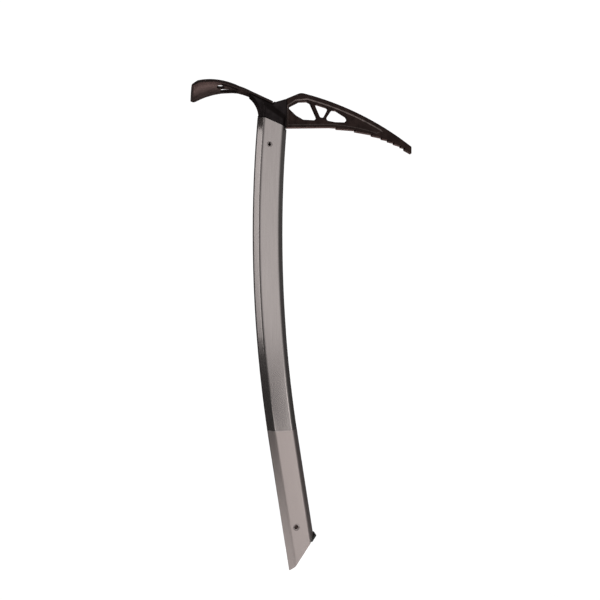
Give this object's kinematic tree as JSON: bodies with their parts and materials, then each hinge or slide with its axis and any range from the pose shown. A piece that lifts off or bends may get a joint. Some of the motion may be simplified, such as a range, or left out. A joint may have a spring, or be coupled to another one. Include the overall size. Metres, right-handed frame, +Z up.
{
  "type": "ice axe",
  "caption": "Bent-shaft ice axe with a windowed toothed pick, a slotted adze, an oblique spike end and a rubber end plug.",
  "frame": {"origin": "centre of the clip-in eye, the largest window in the pick, in the axe's plane of symmetry", "axes": "+X towards the pick's tip, +Y across the axe, +Z up from the spike to the head; the top of the shaft leans 4.5 degrees from Z"},
  "size_m": [0.2374, 0.042, 0.4934],
  "materials": {
    "pick_steel": "black forged finish, satin",
    "adze_steel": "black forged finish, satin",
    "collar_steel": "black forged finish, satin",
    "shaft_aluminium": "warm grey anodised, satin, with a blasted grip zone",
    "cheek_nylon": "moulded",
    "pin_steel": "dark phosphated",
    "plug_rubber": "matte"
  },
  "bodies": {
    "root": {"pick": "pick_steel", "adze": "adze_steel", "collar": "collar_steel", "shaft": "shaft_aluminium", "tang_cheek_left": "cheek_nylon", "tang_cheek_right": "cheek_nylon", "head_pin": "pin_steel", "spike_pin": "pin_steel", "end_plug": "plug_rubber"}
  },
  "joints": []
}
